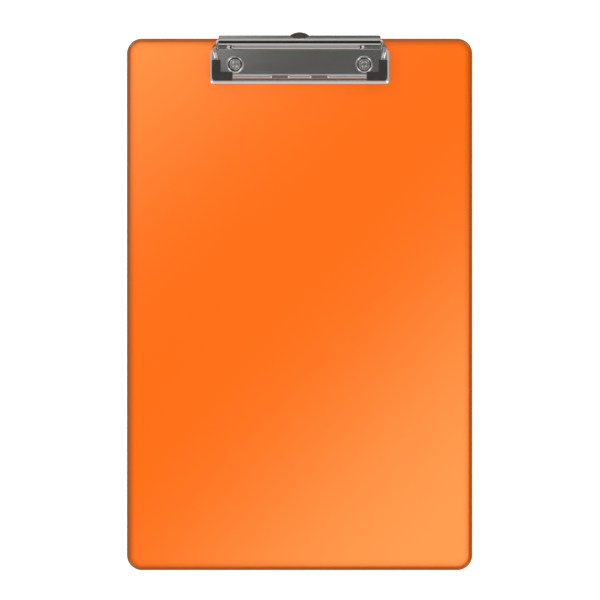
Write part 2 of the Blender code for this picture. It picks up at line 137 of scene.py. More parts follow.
def gridPart(grid, wrap=True, keep=None):
    # Quads over a rows by columns grid of points; wrap joins the last column to the first.
    rows, columns = grid.shape[:2]
    index = np.arange(rows * columns).reshape(rows, columns)
    left = index if wrap else index[:, :-1]
    right = np.roll(index, -1, axis=1) if wrap else index[:, 1:]
    quads = np.stack([left[:-1], right[:-1], right[1:], left[1:]], axis=-1).reshape(-1, 4)
    points = grid.reshape(-1, 3)
    if keep is not None:
        quads = quads[keep(points[quads].mean(axis=1))]
    return points, quads


def fillPart(*loops):
    # Triangles over the flat area inside the first loop and outside the others.
    triangles = tessellate_polygon([[Vector(point) for point in loop] for loop in loops])
    return np.concatenate(loops), np.array(triangles)


def slabParts(corners, radii, thickness, edge, steps, holes=(), edgeSteps=4, sides=48):
    # A flat piece about height 0 with both its faces rounded off at the rim and round each hole.
    turn = np.linspace(0, math.pi / 2, edgeSteps + 1)
    levels = np.stack([edge * (1 - np.sin(turn)), edge * (1 - np.cos(turn)) - thickness / 2], axis=1)
    levels = np.concatenate([levels, levels[::-1] * (1, -1)])
    outer = insetRings(corners, radii, levels, steps)
    bores = [turnedRings(levels + (radius, 0), centre, sides) for centre, radius in holes]
    ends = [fillPart(outer[k], *[bore[k] for bore in bores]) for k in (0, -1)]
    return [gridPart(outer), *[gridPart(bore) for bore in bores], *ends]


def movedParts(parts, change):
    # The same parts with their points moved.
    return [(change(points), faces) for points, faces in parts]


def makePiece(name, parts, solid=True):
    # Joins the parts into one mesh, merges what meets, and points its faces outwards (a sheet's, upwards).
    offsets = np.cumsum([0] + [len(points) for points, _ in parts])
    faces = [row for (_, part), offset in zip(parts, offsets) for row in (part + offset).tolist()]
    mesh = bpy.data.meshes.new(name)
    mesh.from_pydata(np.concatenate([points for points, _ in parts]).tolist(), [], faces)
    work = bmesh.new()
    work.from_mesh(mesh)
    bmesh.ops.remove_doubles(work, verts=work.verts, dist=0.002 * mm)
    bmesh.ops.recalc_face_normals(work, faces=work.faces)
    if not solid and max(work.faces, key=lambda face: face.calc_area()).normal.z < 0:
        bmesh.ops.reverse_faces(work, faces=work.faces)
    work.to_mesh(mesh)
    work.free()
    piece = bpy.data.objects.new(name, mesh)
    bpy.context.scene.collection.objects.link(piece)
    return piece


def bakeModifiers(piece):
    # The mesh with its modifiers worked in, so that its sharp edges can be found.
    graph = bpy.context.evaluated_depsgraph_get()
    mesh = bpy.data.meshes.new_from_object(piece.evaluated_get(graph))
    piece.modifiers.clear()
    piece.data = mesh


def giveThickness(piece, thickness, offset, edge):
    # Sheet metal from a surface, with the burr taken off its cut edges.
    wall = piece.modifiers.new("sheet", "SOLIDIFY")
    wall.thickness = thickness
    wall.offset = offset
    rim = piece.modifiers.new("cut edge", "BEVEL")
    rim.width = edge
    rim.segments = 2
    rim.limit_method = "ANGLE"
    rim.angle_limit = math.radians(50)
    bakeModifiers(piece)


def finishPiece(piece, material, body, node, sharp=35):
    # Material and shading, the body that it moves with, and the CAD node that it stands for.
    piece.data.materials.clear()
    piece.data.materials.append(material)
    piece.data.shade_smooth()
    piece.data.set_sharp_from_angle(angle=math.radians(sharp))
    shading = piece.modifiers.new("flat faces stay flat", "WEIGHTED_NORMAL")
    shading.keep_sharp = True
    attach(piece, body)
    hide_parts(node)


# Materials.

def toLinear(hexColour):
    # sRGB hex to linear red, green, blue and alpha.
    parts = [int(hexColour[i:i + 2], 16) / 255 for i in (1, 3, 5)]
    return (*[c / 12.92 if c <= 0.04045 else ((c + 0.055) / 1.055) ** 2.4 for c in parts], 1)


def addNode(tree, kind, inputs=None, **settings):
    # One node with its settings; an input is given a value, or the socket or node that feeds it.
    node = tree.nodes.new("ShaderNode" + kind)
    for setting, value in settings.items():
        setattr(node, setting, value)
    for socket, value in (inputs or {}).items():
        if isinstance(value, bpy.types.Node):
            value = value.outputs[0]
        if isinstance(value, bpy.types.NodeSocket):
            tree.links.new(value, node.inputs[socket])
        else:
            node.inputs[socket].default_value = value
    return node


def newMaterial(name, constants):
    # A material with only its shader, whose constant values are set on the shader's own sockets.
    material = bpy.data.materials.new(name)
    material.use_nodes = True
    tree = material.node_tree
    shader = tree.nodes["Principled BSDF"]
    for socket, value in constants.items():
        shader.inputs[socket].default_value = value
    place = addNode(tree, "TexCoord").outputs["Object"]
    return material, tree, shader, place


def perMetre(sizeInMm):
    # A pattern's scale, from the real size of what repeats in it.
    return 1 / (sizeInMm * mm)


styrene = {
    "orange": "#ff6800",
    "paintedRimShadeColour": "#62300f",
    "rimWidth": 6.3,  # painted shade darkens the moulding towards its rim over this much
    "rimFade": 1.5,
    "gloss": (1.0, 0.92, 0.38, 1),  # the pigment warms what the surface reflects
    "glossLevel": 1.0,
    "rimGloss": 0.4,
    "mottled": "#f56200",
    "mottle": 55.0,
    "mottleShare": 0.05,
    "roughLow": 0.08,
    "roughHigh": 0.1,  # where it is scuffed
    "grain": 0.45,
    "grainHeight": 0.0003,
    "wave": 38.0,
    "waveHeight": 0.002,
    "scuffLength": 26.0,
    "scuffWidth": 0.5,
    "scuffTurn": 24,
}


def mouldedStyrene(corner):
    # Injection-moulded polystyrene, polished mould: saturated orange, a clear gloss with soft reflections,
    # painted shade that darkens it towards the rim, a very fine mould grain, slow sink waves and a few faint
    # scuffs.
    s = styrene
    constants = {"IOR": 1.59, "Specular Tint": s["gloss"]}
    material, tree, shader, place = newMaterial("mouldedStyrene", constants)
    centreY = (boardLow.y + boardHigh.y) / 2
    halfX = (boardHigh.x - boardLow.x) / 2
    halfY = (boardHigh.y - boardLow.y) / 2
    # Distance inwards from a rounded rectangle: its corner radius, less how far the place lies past the
    # inner rectangle that the corner circles are centred on.
    centred = addNode(tree, "VectorMath", {0: place, 1: (0, centreY, 0)}, operation="SUBTRACT")
    flat = addNode(tree, "VectorMath", {0: centred, 1: (1, 1, 0)}, operation="MULTIPLY")
    folded = addNode(tree, "VectorMath", {0: flat}, operation="ABSOLUTE")
    inner = (halfX - corner, halfY - corner, 0)
    past = addNode(tree, "VectorMath", {0: folded, 1: inner}, operation="SUBTRACT")
    beyond = addNode(tree, "VectorMath", {0: past, 1: (0, 0, 0)}, operation="MAXIMUM")
    reach = addNode(tree, "VectorMath", {0: beyond}, operation="LENGTH").outputs["Value"]
    split = addNode(tree, "SeparateXYZ", {0: past})
    nearer = addNode(tree, "Math", {0: split.outputs[0], 1: split.outputs[1]}, operation="MAXIMUM")
    within = addNode(tree, "Math", {0: nearer, 1: 0.0}, operation="MINIMUM")
    outside = addNode(tree, "Math", {0: reach, 1: within}, operation="ADD")
    inwards = addNode(tree, "Math", {0: corner, 1: outside}, operation="SUBTRACT")
    rimShare = addNode(
        tree, "MapRange", {"Value": inwards, "From Max": s["rimWidth"] * mm, "To Min": 1.0, "To Max": 0.0}
    )
    rimShade = addNode(tree, "Math", {0: rimShare, 1: s["rimFade"]}, operation="POWER")

    mottle = addNode(tree, "TexNoise", {"Vector": place, "Scale": perMetre(s["mottle"]), "Detail": 2.0})
    mottleShare = addNode(tree, "MapRange", {"Value": mottle, "To Max": s["mottleShare"]})
    colours = {"Factor": mottleShare, 6: toLinear(s["orange"]), 7: toLinear(s["mottled"])}
    body = addNode(tree, "Mix", colours, data_type="RGBA")
    # Painted shade: the colour darkens to brown towards the rim.
    colours = {"Factor": rimShade, 6: body.outputs[2], 7: toLinear(s["paintedRimShadeColour"])}
    colour = addNode(tree, "Mix", colours, data_type="RGBA")
    tree.links.new(colour.outputs[2], shader.inputs["Base Color"])
    gloss = addNode(
        tree, "MapRange", {"Value": rimShare, "To Min": s["glossLevel"], "To Max": s["rimGloss"]}
    )
    tree.links.new(gloss.outputs[0], shader.inputs["Specular IOR Level"])

    turned = addNode(
        tree,
        "Mapping",
        {
            "Vector": place,
            "Rotation": (0, 0, math.radians(s["scuffTurn"])),
            "Scale": (perMetre(s["scuffLength"]), perMetre(s["scuffWidth"]), 1),
        },
    )
    scuffs = addNode(tree, "TexNoise", {"Vector": turned, "Scale": 1.0, "Detail": 3.0, "Roughness": 0.6})
    limits = {"From Min": 0.45, "From Max": 0.8, "To Min": s["roughLow"], "To Max": s["roughHigh"]}
    roughness = addNode(tree, "MapRange", {"Value": scuffs, **limits})
    tree.links.new(roughness.outputs[0], shader.inputs["Roughness"])
    wave = addNode(tree, "TexNoise", {"Vector": place, "Scale": perMetre(s["wave"]), "Detail": 1.0})
    waveBump = addNode(tree, "Bump", {"Height": wave, "Strength": 1.0, "Distance": s["waveHeight"] * mm})
    grain = addNode(tree, "TexNoise", {"Vector": place, "Scale": perMetre(s["grain"]), "Detail": 3.0})
    grainBump = addNode(
        tree,
        "Bump",
        {"Height": grain, "Strength": 1.0, "Distance": s["grainHeight"] * mm, "Normal": waveBump},
    )
    tree.links.new(grainBump.outputs[0], shader.inputs["Normal"])
    return material


chrome = {
    "nickel": "#cdcccb",
    "nickelWarm": "#c8c6c2",
    "tarnish": 9.0,
    "buffLength": 16.0,
    "buffWidth": 0.22,
    "ripple": 5.0,
    "rippleHeight": 0.0006,
    # the colour of the painted shade in the lever's groove and round the wire's bearings
    "paintedShade": "#3b342e",
}

# Where painted shade darkens the chrome: the lever's groove, placed from the pivot, and the wire's bearings,
# with how far out from each the painted shade is full and where it ends.
paintedShadeLines = {
    "foldBack": 2.4,
    "foldUp": 0.9,
    "foldFull": 0.65,
    "foldEnd": 1.1,
    "bearingFull": 1.2,
    "bearingEnd": 1.95,
}


def chromePlate(name, across, roughLow, roughHigh, fold=None):
    # Bright nickel-chrome plate on buffed steel: mirror reflections with a slight warm cast, faint buffing
    # lines along the piece that only change the haze, and the slow ripple of pressed sheet or drawn wire.
    # Painted shade darkens it within a fold or bearing, which is a line across the board, given as its place
    # along the board, its height, and the two distances from it where the painted shade is full and where it
    # ends.
    c = chrome
    material, tree, shader, place = newMaterial(name, {"Metallic": 1.0})
    tint = addNode(tree, "TexNoise", {"Vector": place, "Scale": perMetre(c["tarnish"]), "Detail": 3.0})
    colours = {"Factor": tint, 6: toLinear(c["nickel"]), 7: toLinear(c["nickelWarm"])}
    colour = addNode(tree, "Mix", colours, data_type="RGBA")
    # Painted shade: darker near the fold or bearing line.
    if fold:
        fromFold = addNode(tree, "VectorMath", {0: place, 1: (0, *fold[:2])}, operation="SUBTRACT")
        section = addNode(tree, "VectorMath", {0: fromFold, 1: (0, 1, 1)}, operation="MULTIPLY")
        away = addNode(tree, "VectorMath", {0: section}, operation="LENGTH").outputs["Value"]
        limits = {"Value": away, "From Min": fold[3], "From Max": fold[2]}
        paintedShade = addNode(tree, "MapRange", limits, interpolation_type="SMOOTHSTEP")
        colours = {"Factor": paintedShade, 6: colour.outputs[2], 7: toLinear(c["paintedShade"])}
        colour = addNode(tree, "Mix", colours, data_type="RGBA")
    tree.links.new(colour.outputs[2], shader.inputs["Base Color"])
    lineScale = [perMetre(c["buffLength"]), perMetre(c["buffWidth"]), perMetre(c["buffWidth"])]
    if across:
        lineScale = [lineScale[1], lineScale[0], lineScale[1]]
    stretched = addNode(tree, "Mapping", {"Vector": place, "Scale": lineScale})
    buff = addNode(tree, "TexNoise", {"Vector": stretched, "Scale": 1.0, "Detail": 4.0})
    limits = {"From Min": 0.3, "From Max": 0.7, "To Min": roughLow, "To Max": roughHigh}
    rough = addNode(tree, "MapRange", {"Value": buff, **limits})
    tree.links.new(rough.outputs[0], shader.inputs["Roughness"])
    ripple = addNode(tree, "TexNoise", {"Vector": place, "Scale": perMetre(c["ripple"]), "Detail": 2.0})
    bump = addNode(tree, "Bump", {"Height": ripple, "Strength": 1.0, "Distance": c["rippleHeight"] * mm})
    tree.links.new(bump.outputs[0], shader.inputs["Normal"])
    return material


rubber = {
    "dark": "#171614",
    "dusty": "#2b2b2a",
    "dust": 3.5,
    "sheen": 0.15,
    "roughLow": 0.42,
    "roughHigh": 0.62,
    "grain": 0.28,
    "grainHeight": 0.012,
}


def mouldedRubber():
    # Compression-moulded nitrile rubber: black with a soft sheen, a matt eroded grain and a little dust
    # that greys it in patches.
    r = rubber
    constants = {"IOR": 1.52, "Sheen Weight": r["sheen"], "Sheen Roughness": 0.5}
    material, tree, shader, place = newMaterial("mouldedRubber", constants)
    dust = addNode(tree, "TexNoise", {"Vector": place, "Scale": perMetre(r["dust"]), "Detail": 5.0})
    share = addNode(tree, "MapRange", {"Value": dust, "From Min": 0.4, "From Max": 0.75})
    colours = {"Factor": share, 6: toLinear(r["dark"]), 7: toLinear(r["dusty"])}
    colour = addNode(tree, "Mix", colours, data_type="RGBA")
    tree.links.new(colour.outputs[2], shader.inputs["Base Color"])
    grain = addNode(tree, "TexNoise", {"Vector": place, "Scale": perMetre(r["grain"]), "Detail": 3.0})
    rough = addNode(tree, "MapRange", {"Value": grain, "To Min": r["roughLow"], "To Max": r["roughHigh"]})
    tree.links.new(rough.outputs[0], shader.inputs["Roughness"])
    bump = addNode(tree, "Bump", {"Height": grain, "Strength": 0.6, "Distance": r["grainHeight"] * mm})
    tree.links.new(bump.outputs[0], shader.inputs["Normal"])
    return material


nylon = {
    "dark": "#352f2f",
    "worn": "#4a4342",
    "rubWidth": 0.3,
    "rubLength": 14.4,
    "roughLow": 0.34,
    "roughHigh": 0.5,
    "grain": 0.35,
    "grainHeight": 0.01,
}


def mouldedNylon():
    # Injection-moulded nylon: near-black with a brown cast, a spark-eroded satin grain, and fine rub lines
    # along the way that the hook slides.
    n = nylon
    material, tree, shader, place = newMaterial("mouldedNylon", {"IOR": 1.53})
    lineScale = (perMetre(n["rubWidth"]), perMetre(n["rubLength"]), 1)
    lines = addNode(tree, "Mapping", {"Vector": place, "Scale": lineScale})
    rub = addNode(tree, "TexNoise", {"Vector": lines, "Scale": 1.0, "Detail": 4.0})
    share = addNode(tree, "MapRange", {"Value": rub, "From Min": 0.45, "From Max": 0.8})
    colours = {"Factor": share, 6: toLinear(n["dark"]), 7: toLinear(n["worn"])}
    colour = addNode(tree, "Mix", colours, data_type="RGBA")
    tree.links.new(colour.outputs[2], shader.inputs["Base Color"])
    grain = addNode(tree, "TexNoise", {"Vector": place, "Scale": perMetre(n["grain"]), "Detail": 3.0})
    rough = addNode(tree, "MapRange", {"Value": grain, "To Min": n["roughLow"], "To Max": n["roughHigh"]})
    tree.links.new(rough.outputs[0], shader.inputs["Roughness"])
    bump = addNode(tree, "Bump", {"Height": grain, "Strength": 0.5, "Distance": n["grainHeight"] * mm})
    tree.links.new(bump.outputs[0], shader.inputs["Normal"])
    return material


zinc = {"bright": "#c3c4c2", "dull": "#9c9e9d", "spangle": 1.1, "roughLow": 0.28, "roughHigh": 0.45}


def zincPlate():
    # Barrel-plated zinc on stamped steel: pale grey with a fine blotchy haze.
    z = zinc
    material, tree, shader, place = newMaterial("zincPlate", {"Metallic": 1.0})
    spangle = addNode(tree, "TexVoronoi", {"Vector": place, "Scale": perMetre(z["spangle"])})
    colours = {"Factor": spangle, 6: toLinear(z["bright"]), 7: toLinear(z["dull"])}
    colour = addNode(tree, "Mix", colours, data_type="RGBA")
    tree.links.new(colour.outputs[2], shader.inputs["Base Color"])
    rough = addNode(tree, "MapRange", {"Value": spangle, "To Min": z["roughLow"], "To Max": z["roughHigh"]})
    tree.links.new(rough.outputs[0], shader.inputs["Roughness"])
    return material


plateChrome = chromePlate("buffedChromePlate", False, 0.04, 0.07)
# The lever's groove and the wire's bearings are darkened with painted shade.
foldLine = (pivotY + paintedShadeLines["foldBack"] * mm, pivotZ + paintedShadeLines["foldUp"] * mm)
leverFold = (*foldLine, paintedShadeLines["foldFull"] * mm, paintedShadeLines["foldEnd"] * mm)
leverChrome = chromePlate("rolledChromeSheet", False, 0.04, 0.07, leverFold)
bearing = (pivotY, pivotZ, paintedShadeLines["bearingFull"] * mm, paintedShadeLines["bearingEnd"] * mm)
wireChrome = chromePlate("drawnChromeWire", False, 0.05, 0.1, bearing)
rivetChrome = chromePlate("headedNickelSteel", True, 0.06, 0.1)
blackRubber = mouldedRubber()
darkNylon = mouldedNylon()
zincSteel = zincPlate()
print("metals, rubber and nylon made")


# The board.

boardShape = {
    "corner": 10.0,
    "rimIn": 2.6,
    "rimDown": 1.8,
    "backRound": 0.5,
    "flatRings": (4.0, 8.0),  # inside the edge, so that the face beside the rim shades as flat
    "pocketRadius": 5.6,
    "pocketDepth": 1.8,
    "pocketLead": 0.2,
    "holeRadius": 2.3,
}


def makeBoard():
    # A rounded rectangle carried up a profile: back edge round, short side, then a quarter ellipse rim.
    # Each rivet has a round pocket in the back and a hole through its floor.
    b = boardShape
    corners = [
        (boardLow.x, boardLow.y),
        (boardHigh.x, boardLow.y),
        (boardHigh.x, boardHigh.y),
        (boardLow.x, boardHigh.y),
    ]
    top = boardHigh.z
    back = b["backRound"] * mm
    turn = np.linspace(0, math.pi / 2, 6)
    backEdge = np.stack([back * (1 - np.sin(turn)), back * (1 - np.cos(turn))], axis=1)
    turn = np.linspace(0, math.pi / 2, 13)
    rim = np.stack(
        [b["rimIn"] * mm * (1 - np.cos(turn)), top - b["rimDown"] * mm * (1 - np.sin(turn))], axis=1
    )
    flat = [(inside * mm, top) for inside in b["flatRings"]]
    levels = np.concatenate([backEdge, rim, flat])
    rings = insetRings(corners, [b["corner"] * mm] * 4, levels, 28)
    parts = [gridPart(rings)]
    depth = b["pocketDepth"] * mm
    lead = b["pocketLead"] * mm
    section = [
        (b["pocketRadius"] * mm + lead, 0),
        (b["pocketRadius"] * mm, lead),
        (b["pocketRadius"] * mm, depth),
        (b["holeRadius"] * mm, depth),
        (b["holeRadius"] * mm, top),
    ]
    wells = [turnedRings(section, (x, rivetY), 56) for x in (-rivetX, rivetX)]
    parts += [gridPart(well) for well in wells]
    parts.append(fillPart(rings[0], *[well[0] for well in wells]))
    parts.append(fillPart(rings[-1], *[well[-1] for well in wells]))
    board = makePiece("orangeBoard", parts)
    finishPiece(board, orangeStyrene, "board", "board")


orangeStyrene = mouldedStyrene(boardShape["corner"] * mm)
makeBoard()
print("board made")


# The base plate.

plateShape = {
    "sheet": 0.7,
    "top": 5.6,
    "foot": 3.02,
    "frontMore": 0.6,
    "edgeWidth": 2.3,
    "edgeDegrees": 42,
    "edgeUpper": 1.1,  # radius of the bend into the top
    "edgeLower": 0.5,
    "shoulderShare": 0.55,  # of the edge's width, where there is less room
    "besideEarShare": 0.18,
    "backShare": 0.35,
    "slopeDegrees": 1.0,  # the top falls this much towards the front
    "outlineRounds": (2.4, 2.0, 1.0, 2.0, 0),  # from a front corner to the mouth
    "backHalfWidth": 56.2,
    "shoulderBack": 3.6,  # along the board from the plate's back edge
    "shoulderFront": 7.3,
    "mouthHalf": 8.8,
    "mouthTop": 4.9,
    "mouthDepth": 2.0,
    "burr": 0.1,
    "flatStrip": 0.25,  # round each bend, so that the flat beside it shades as flat
    "lipRun": 1.0,  # the same along the edge
    "lipRadius": 1.3,
    "dimpleRim": 5.6,
    "dimpleFloor": 4.0,
    "dimpleSlope": 61,
    "floorFillet": 0.5,
    "floorStrip": 0.1,
    "rivetHole": 2.3,
    "slotWidth": 6.85,
    "slotFront": 7.0,  # inside the board's top edge
    "earFront": 8.1,
    "slotBack": 3.0,
    "earOuter": 54.7,
    "earBend": 0.5,
    "earBack": 1.4,
    "earTop": 12.3,
    "earNeck": 1.5,  # below the pivot, and the same below the top at the back
    "earRounds": (1.0, 0, 0, 1.0, 1.0, 1.2, 2.4),
    "bearing": 1.9,
}


def dimpleProfile():
    # Radius and height: a flat strip, a rolled lip, a conical wall, a fillet, and the floor up to the
    # rivet's hole.
    p = plateShape
    tilt = np.radians(np.linspace(0, p["dimpleSlope"], 9))
    lipR = p["dimpleRim"] - p["lipRadius"] * np.sin(tilt)
    lipZ = p["top"] - p["lipRadius"] * (1 - np.cos(tilt))
    tilt = tilt[::-1]
    fillR = p["floorFillet"] * np.sin(tilt)
    fillZ = p["dimpleFloor"] + p["floorFillet"] * (1 - np.cos(tilt))
    wallRun = (lipZ[-1] - fillZ[0]) / math.tan(math.radians(p["dimpleSlope"]))
    fillR = fillR - fillR[0] + lipR[-1] - wallRun
    profile = np.stack([np.append(lipR, fillR), np.append(lipZ, fillZ)], axis=1)
    before = [[p["dimpleRim"] + p["flatStrip"], p["top"]]]
    after = [[profile[-1, 0] - p["floorStrip"], p["dimpleFloor"]], [p["rivetHole"], p["dimpleFloor"]]]
    return np.concatenate([before, profile, after]) * mm


def earParts(sign):
    # The ear is one sheet with the plate: it turns up on a bend, and then is flat, with a bearing hole.
    p = plateShape
    outer = p["earOuter"] * mm
    bend = p["earBend"] * mm
    top = p["top"] * mm
    front = boardHigh.y - p["slotFront"] * mm
    back = boardHigh.y - p["slotBack"] * mm
    turn = np.linspace(0, math.pi / 2, 7)
    x = sign * np.append(outer + bend + p["flatStrip"] * mm, outer + bend * (1 - np.sin(turn)))
    z = np.append(top, top + bend * (1 - np.cos(turn)))
    strip = np.stack([np.stack([x, np.full(len(x), y), z], axis=1) for y in (front, back)], axis=1)
    earTop = p["earTop"] * mm
    earFront = boardHigh.y - p["earFront"] * mm
    earBack = boardHigh.y - p["earBack"] * mm
    neck = p["earNeck"] * mm
    corners = [
        (earFront, pivotZ - neck),
        (front, top + bend),
        (back, top + bend),
        (earBack, pivotZ - neck),
        (earBack, earTop - neck),
        (back, earTop),
        (earFront, earTop),
    ]
    outline = roundedLine(corners, np.array(p["earRounds"]) * mm, 8)
    hole = arcPoints((pivotY, pivotZ), p["bearing"] * mm, 0, 360, 40)[:-1]
    loops = [np.column_stack([np.full(len(loop), sign * outer), loop]) for loop in (outline, hole)]
    return [gridPart(strip, wrap=False), fillPart(*loops)]


def makeBasePlate():
    # The outer skin: the outline carried up a short side, a bend, a sloping edge and a second bend, then a
    # flat top with round dimples and two slots, and the ears. The sheet's thickness goes inwards from it.
    p = plateShape
    halfWidth = plateHigh.x
    backHalf = p["backHalfWidth"] * mm
    mouth = p["mouthHalf"] * mm
    back = plateHigh.y
    corners = [
        (halfWidth, plateLow.y - p["frontMore"] * mm),
        (halfWidth, back - p["shoulderFront"] * mm),
        (backHalf, back - p["shoulderBack"] * mm),
        (backHalf, back),
        (mouth, back),
    ]
    corners += [(-x, y) for x, y in corners[::-1]]
    rounds = np.array(p["outlineRounds"]) * mm
    radii = np.append(rounds, rounds[::-1])
    top = p["top"] * mm
    edge = p["edgeDegrees"]
    upperCentre = (p["edgeWidth"], p["top"] - p["edgeUpper"])
    upper = arcPoints(upperCentre, p["edgeUpper"], 90 + edge, 90, 8)
    lowerRun = p["edgeLower"] * (1 - math.sin(math.radians(edge)))
    fall = (upper[0, 0] - lowerRun) * math.tan(math.radians(edge))
    lowerCentre = (p["edgeLower"], upper[0, 1] - fall - p["edgeLower"] * math.cos(math.radians(edge)))
    lower = arcPoints(lowerCentre, p["edgeLower"], 180, 90 + edge, 6)
    lip = (p["edgeWidth"] + p["lipRun"], p["top"])
    levels = np.concatenate([[(0, p["foot"])], lower, upper, [lip]]) * mm
    shares = [1, p["shoulderShare"], p["besideEarShare"], p["backShare"], p["backShare"]]
    shares = shares + [p["backShare"], p["besideEarShare"], p["shoulderShare"], 1, 1]
    rings = insetRings(corners, radii, levels, 10, shares)

    def besideMouth(centres):
        atMouth = (abs(centres[:, 0]) < mouth) & (centres[:, 1] > back - p["mouthDepth"] * mm)
        return ~(atMouth & (centres[:, 2] < p["mouthTop"] * mm))

    dimples = [turnedRings(dimpleProfile(), (x, rivetY), 72) for x in (-rivetX, rivetX)]
    slots = []
    for sign in (-1, 1):
        outer = p["earOuter"] + p["earBend"] + p["flatStrip"]
        x = sign * np.array([outer - p["slotWidth"], outer, outer, outer - p["slotWidth"]]) * mm
        y = boardHigh.y - np.array([p["slotFront"], p["slotFront"], p["slotBack"], p["slotBack"]]) * mm
        slots.append(np.column_stack([x, y, np.full(4, top)]))
    parts = [gridPart(rings, keep=besideMouth), *[gridPart(dimple) for dimple in dimples]]
    parts.append(fillPart(rings[-1], *[dimple[0] for dimple in dimples], *slots))
    parts += earParts(-1) + earParts(1)
    slope = math.tan(math.radians(p["slopeDegrees"]))
    foot = p["foot"] * mm

    def tipForward(points):
        fall = slope * (back - points[:, 1]) * np.clip((points[:, 2] - foot) / (top - foot), 0, 1)
        return points - np.outer(fall, (0, 0, 1))

    plate = makePiece("pressedPlate", movedParts(parts, tipForward), solid=False)
    giveThickness(plate, p["sheet"] * mm, -1, p["burr"] * mm)
    finishPiece(plate, plateChrome, "board", "base_plate", 30)


makeBasePlate()
print("base plate made")


# The rivets and their washers.

rivetShape = {
    "seat": 4.02,
    "headRadius": 3.8,
    "headRound": 0.45,
    "rimCentre": 1.95,
    "rimHalf": 0.36,
    "dishDepth": 0.5,
    "dishRound": 0.3,
    "flatStrip": 0.05,  # beside each bend, so that the flats shade as flat
    "shank": 2.0,
    "tailTop": 0.7,
    "tailRadius": 3.2,
    "tailHalf": 0.25,
    "bore": 1.3,
    "boreFlare": 0.5,
    "boreDepth": 1.6,  # to the point of its shallow end
    "borePoint": 0.1,
    "boreCone": 0.3,
    "washerOuter": 5.0,
    "washerInner": 2.3,
    "washerLow": 1.0,
    "washerHigh": 1.5,
    "washerEdge": 0.1,
}


def makeRivets():
    # A semi-tubular rivet turned from one profile: hollow tail, rolled end, shank, and a flat head with a
    # raised ring round a shallow hollow.
    r = rivetShape
    tailMiddle = r["tailTop"] - r["tailHalf"]
    boreTop = r["tailTop"] + r["boreDepth"]
    coneTop = boreTop - r["borePoint"]
    headTop = r["seat"] + 2 * r["headRound"]
    headFlat = r["headRadius"] - r["headRound"]
    dishFlat = r["rimCentre"] - r["rimHalf"] - r["dishRound"]
    dishFloor = headTop - r["dishDepth"]
    strip = r["flatStrip"]
    profile = np.concatenate([
        [(0, boreTop), (r["bore"] - r["boreCone"], coneTop), (r["bore"], coneTop - r["boreCone"])],
        arcPoints((r["bore"] + r["boreFlare"], r["tailTop"]), r["boreFlare"], 180, 270, 8),
        arcPoints((r["tailRadius"] - r["tailHalf"], tailMiddle), r["tailHalf"], -90, 90, 10),
        [(r["shank"], r["tailTop"]), (r["shank"], r["seat"])],
        arcPoints((headFlat, headTop - r["headRound"]), r["headRound"], -90, 90, 12),
        [(headFlat - strip, headTop), (r["rimCentre"] + r["rimHalf"] + strip, headTop)],
        arcPoints((r["rimCentre"], headTop), r["rimHalf"], 0, 180, 14),
        arcPoints((dishFlat, dishFloor + r["dishRound"]), r["dishRound"], 0, -90, 6),
        [(dishFlat - strip, dishFloor), (0, dishFloor)],
    ]) * mm
    slope = math.tan(math.radians(plateShape["slopeDegrees"]))
    for side, x in (("Left", -rivetX), ("Right", rivetX)):
        rings = turnedRings(profile, (x, rivetY), 64)
        rings[..., 2] += slope * (rings[..., 1] - rivetY)  # seated square to the plate
        rivet = makePiece("rivet" + side, [gridPart(rings)])
        finishPiece(rivet, rivetChrome, "board", "rivet_" + side.lower(), 40)
        edge = r["washerEdge"]
        low, high = r["washerLow"], r["washerHigh"]
        section = np.array([
            (r["washerInner"], low + edge),
            (r["washerInner"] + edge, low),
            (r["washerOuter"] - edge, low),
            (r["washerOuter"], low + edge),
            (r["washerOuter"], high - edge),
            (r["washerOuter"] - edge, high),
            (r["washerInner"] + edge, high),
            (r["washerInner"], high - edge),
            (r["washerInner"], low + edge),
        ]) * mm
        washer = makePiece("washer" + side, [gridPart(turnedRings(section, (x, rivetY), 64))])
        finishPiece(washer, zincSteel, "board", "rivet_washer_" + side.lower(), 30)


makeRivets()
print("rivets and washers made")


# The lever.

leverShape = {
    "sheet": 0.5,
    "halfLength": 53.8,
    "beadRadius": 2.05,  # of the sheet's middle
    "beadStart": 322,
    "beadEnd": 20,
    "windowFrom": 200,
    "windowTo": 72,
    "windowLeft": -44.9,
    "windowRight": 39.7,
    "grooveRadius": 0.9,
    "riseEnd": 4.9,
    "riseDegrees": 35,
    "bendRadius": 0.6,
    "flangeEnd": 7.0,
    "flangeSlope": 0.9,
    "notchRadius": 11.6,
    "notchDepth": 2.4,
    "cornerLeft": 0.5,
    "cornerRight": 1.3,
    "spare": 0.5,  # past the flange's end, so that the profile can be cut to length
    "endStrip": 1.6,  # finer steps over the corners and round the notch
    "notchStrip": 7.2,
    "burr": 0.09,
}


def leverProfile():
    # The sheet's middle line about the pivot, in mm: the bead's arc, a groove, a rise and the flange.
    v = leverShape
    leave = math.radians(v["beadEnd"])
    stretches = [(v["beadStart"], v["windowFrom"], 20), (v["windowFrom"], v["windowTo"], 24)]
    stretches.append((v["windowTo"], v["beadEnd"], 10))
    bead = [arcPoints((0, 0), v["beadRadius"], a, b, n)[:-1] for a, b, n in stretches]
    grooveAt = (v["beadRadius"] + v["grooveRadius"]) * np.array([math.cos(leave), math.sin(leave)])
    groove = arcPoints(grooveAt, v["grooveRadius"], 180 + v["beadEnd"], 270 + v["riseDegrees"], 14)
    start = groove[-1]
    bend = start + (v["riseEnd"] - start[0]) * np.array([1, math.tan(math.radians(v["riseDegrees"]))])
    flange = v["flangeEnd"] + v["spare"] - v["riseEnd"]
    end = bend + flange * np.array([1, math.tan(math.radians(v["flangeSlope"]))])
    rise = roundedLine([start, bend, end], [0, v["bendRadius"], 0], 10, closed=False)
    return np.concatenate(bead + [groove]), rise


